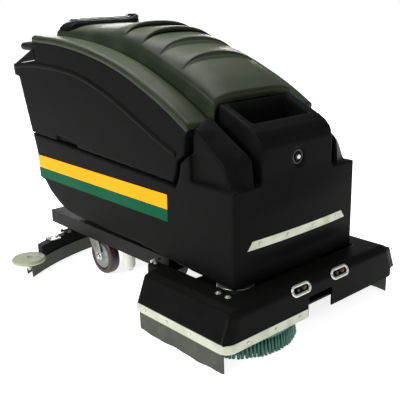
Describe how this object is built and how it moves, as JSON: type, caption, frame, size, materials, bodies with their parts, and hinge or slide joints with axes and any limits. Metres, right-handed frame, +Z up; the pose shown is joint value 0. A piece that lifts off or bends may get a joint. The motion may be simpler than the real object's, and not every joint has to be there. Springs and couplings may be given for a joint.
{
  "type": "walk-behind floor scrubber",
  "caption": "Battery floor scrubber with tilting recovery tank, hinged lid, twin-disc brush deck, curved squeegee and rear casters, pushed from a rear handlebar.",
  "frame": {"origin": "on the floor, below the middle of the machine's length and width", "axes": "+X forward towards the brush deck, +Y to the machine's left, +Z up"},
  "size_m": [1.512, 1.132, 1.066],
  "materials": {
    "black_polyethylene": "satin",
    "lid_polyethylene": "satin",
    "orange_film": "gloss",
    "green_film": "gloss",
    "aluminium_trim": "brushed",
    "zinc_steel": "satin",
    "black_steel": "satin",
    "cast_housing": "matte",
    "battery_case": "satin",
    "copper_link": "satin",
    "motor_steel": "satin",
    "grey_rubber": "matte",
    "maroon_tyre": "matte",
    "drive_tyre": "matte",
    "bumper_plastic": "satin",
    "filter_plastic": "satin",
    "teal_bristle": "matte",
    "clear_plastic": "polished",
    "red_plastic": "gloss",
    "control_plastic": "satin"
  },
  "bodies": {
    "chassis": {"chassis_frame": "black_steel", "solution_tank": "black_polyethylene", "orange_stripe": "orange_film", "green_stripe": "green_film", "front_strip": "aluminium_trim", "front_strip_screws": "zinc_steel", "battery_tray": "black_steel", "batteries": "battery_case", "battery_links": "copper_link", "transaxle": "cast_housing", "solenoid_valve": "filter_plastic", "solution_filter": "filter_plastic", "exhaust_elbow": "black_polyethylene", "motor_controller": "motor_steel", "tank_hinge": "zinc_steel", "deck_actuator": "zinc_steel"},
    "drive_wheel_left": {"drive_wheel_left": "drive_tyre"},
    "drive_wheel_right": {"drive_wheel_right": "drive_tyre"},
    "fill_cap": {"fill_cap": "black_polyethylene"},
    "nose_latch": {"nose_latch": "zinc_steel"},
    "tank": {"tank_hinge_leaf": "zinc_steel", "recovery_tank": "black_polyethylene", "vacuum_motor": "motor_steel", "float_cage": "filter_plastic", "drain_port": "black_polyethylene", "lid_hinge": "zinc_steel", "console_panel": "black_polyethylene", "console_cheeks": "black_polyethylene", "charge_gauge": "filter_plastic", "handlebar": "black_steel"},
    "lid": {"lid": "lid_polyethylene", "dome_rim": "black_polyethylene"},
    "dome": {"clear_dome": "clear_plastic"},
    "key": {"key_switch": "zinc_steel"},
    "brush_switch": {"brush_switch": "control_plastic"},
    "vacuum_switch": {"vacuum_switch": "control_plastic"},
    "speed_knob": {"speed_knob": "control_plastic"},
    "solution_knob": {"solution_knob": "control_plastic"},
    "stop_button": {"stop_button": "red_plastic"},
    "squeegee_lever": {"squeegee_lever": "control_plastic"},
    "drive_paddle": {"drive_paddle": "control_plastic"},
    "deck": {"deck_plate": "black_steel", "deck_cover": "black_polyethylene", "guard_strip": "aluminium_trim", "side_skirts": "grey_rubber", "tie_down_rings": "aluminium_trim", "deck_fasteners": "zinc_steel", "brush_motor_left": "motor_steel", "brush_motor_right": "motor_steel"},
    "brush_left": {"brush_left": "teal_bristle"},
    "brush_right": {"brush_right": "teal_bristle"},
    "squeegee_arm": {"squeegee_arm": "zinc_steel"},
    "squeegee": {"squeegee_body": "black_polyethylene", "squeegee_blades": "grey_rubber"},
    "bumper_left": {"bumper_wheel_left": "bumper_plastic"},
    "bumper_right": {"bumper_wheel_right": "bumper_plastic"},
    "caster_fork_left": {"caster_fork_left": "zinc_steel"},
    "caster_fork_right": {"caster_fork_right": "zinc_steel"},
    "caster_wheel_left": {"caster_wheel_left": "maroon_tyre"},
    "caster_wheel_right": {"caster_wheel_right": "maroon_tyre"}
  },
  "joints": [
    {"name": "drive_wheel_left_spin", "type": "hinge", "parent": "chassis", "child": "drive_wheel_left", "pos_m": [0.03, 0.104, 0.11], "axis": [0, 1, 0], "continuous": true},
    {"name": "caster_left_swivel", "type": "hinge", "parent": "chassis", "child": "caster_fork_left", "pos_m": [-0.272, 0.235, 0.168], "axis": [0, 0, 1], "continuous": true},
    {"name": "caster_left_spin", "type": "hinge", "parent": "caster_fork_left", "child": "caster_wheel_left", "pos_m": [-0.23, 0.235, 0.08], "axis": [0, 1, 0], "continuous": true},
    {"name": "drive_wheel_right_spin", "type": "hinge", "parent": "chassis", "child": "drive_wheel_right", "pos_m": [0.03, -0.104, 0.11], "axis": [0, 1, 0], "continuous": true},
    {"name": "caster_right_swivel", "type": "hinge", "parent": "chassis", "child": "caster_fork_right", "pos_m": [-0.272, -0.235, 0.168], "axis": [0, 0, 1], "continuous": true},
    {"name": "caster_right_spin", "type": "hinge", "parent": "caster_fork_right", "child": "caster_wheel_right", "pos_m": [-0.23, -0.235, 0.08], "axis": [0, 1, 0], "continuous": true},
    {"name": "fill_cap_turn", "type": "hinge", "parent": "chassis", "child": "fill_cap", "pos_m": [0.52, 0.095, 0.66], "axis": [0, 0, 1], "range_deg": [0, 90]},
    {"name": "nose_latch_turn", "type": "hinge", "parent": "chassis", "child": "nose_latch", "pos_m": [0.64, 0, 0.612], "axis": [1, 0, 0], "range_deg": [0, 90]},
    {"name": "tank_tilt", "type": "hinge", "parent": "chassis", "child": "tank", "pos_m": [-0.145, 0.32, 0.54], "axis": [-1, 0, 0], "range_deg": [0, 75]},
    {"name": "lid_open", "type": "hinge", "parent": "tank", "child": "lid", "pos_m": [-0.558, 0, 0.973], "axis": [0, -1, 0], "range_deg": [0, 80]},
    {"name": "dome_open", "type": "hinge", "parent": "lid", "child": "dome", "pos_m": [-0.499, 0.168, 1.054], "axis": [-1, 0, 0], "range_deg": [0, 80]},
    {"name": "key_turn", "type": "hinge", "parent": "tank", "child": "key", "pos_m": [-0.63154, 0.19, 0.89462], "axis": [-0.1357, 0, 0.9907], "range_deg": [0, 60]},
    {"name": "brush_switch_rock", "type": "hinge", "parent": "tank", "child": "brush_switch", "pos_m": [-0.63073, 0.06, 0.88868], "axis": [0, 1, 0], "range_deg": [-10, 10]},
    {"name": "vacuum_switch_rock", "type": "hinge", "parent": "tank", "child": "vacuum_switch", "pos_m": [-0.63073, 0.11, 0.88868], "axis": [0, 1, 0], "range_deg": [-10, 10]},
    {"name": "speed_knob_turn", "type": "hinge", "parent": "tank", "child": "speed_knob", "pos_m": [-0.63154, -0.06, 0.89462], "axis": [-0.1357, 0, 0.9907], "range_deg": [0, 270]},
    {"name": "solution_knob_turn", "type": "hinge", "parent": "tank", "child": "solution_knob", "pos_m": [-0.63154, -0.13, 0.89462], "axis": [-0.1357, 0, 0.9907], "range_deg": [0, 270]},
    {"name": "stop_button_push", "type": "slide", "parent": "tank", "child": "stop_button", "axis": [0.1357, 0, -0.9907], "range_m": [0, 0.006], "stiffness_N_per_m": 1500, "springref_m": -0.0005},
    {"name": "squeegee_lever_pull", "type": "hinge", "parent": "tank", "child": "squeegee_lever", "pos_m": [-0.63819, 0.225, 0.86949], "axis": [0, 1, 0], "range_deg": [0, 40]},
    {"name": "drive_paddle_turn", "type": "hinge", "parent": "tank", "child": "drive_paddle", "pos_m": [-0.71, 0, 0.944], "axis": [0, 1, 0], "range_deg": [-15, 15], "stiffness_Nm_per_rad": 6},
    {"name": "deck_raise", "type": "slide", "parent": "chassis", "child": "deck", "axis": [0, 0, 1], "range_m": [0, 0.05]},
    {"name": "brush_left_spin", "type": "hinge", "parent": "deck", "child": "brush_left", "pos_m": [0.366, 0.203, 0.06], "axis": [0, 0, 1], "continuous": true},
    {"name": "brush_right_spin", "type": "hinge", "parent": "deck", "child": "brush_right", "pos_m": [0.536, -0.203, 0.06], "axis": [0, 0, 1], "continuous": true},
    {"name": "squeegee_raise", "type": "hinge", "parent": "chassis", "child": "squeegee_arm", "pos_m": [-0.26, 0, 0.134], "axis": [0, 1, 0], "range_deg": [0, 8]},
    {"name": "squeegee_swing", "type": "hinge", "parent": "squeegee_arm", "child": "squeegee", "pos_m": [-0.51, 0, 0.134], "axis": [0, 0, 1], "range_deg": [-15, 15]},
    {"name": "bumper_left_spin", "type": "hinge", "parent": "squeegee", "child": "bumper_left", "pos_m": [-0.42889, 0.495, 0.075], "axis": [0, 0, 1], "continuous": true},
    {"name": "bumper_right_spin", "type": "hinge", "parent": "squeegee", "child": "bumper_right", "pos_m": [-0.42889, -0.495, 0.075], "axis": [0, 0, 1], "continuous": true}
  ],
  "couplings": [
    {"joint": "squeegee_lever_pull", "follows": "squeegee_raise", "ratio": 5}
  ]
}
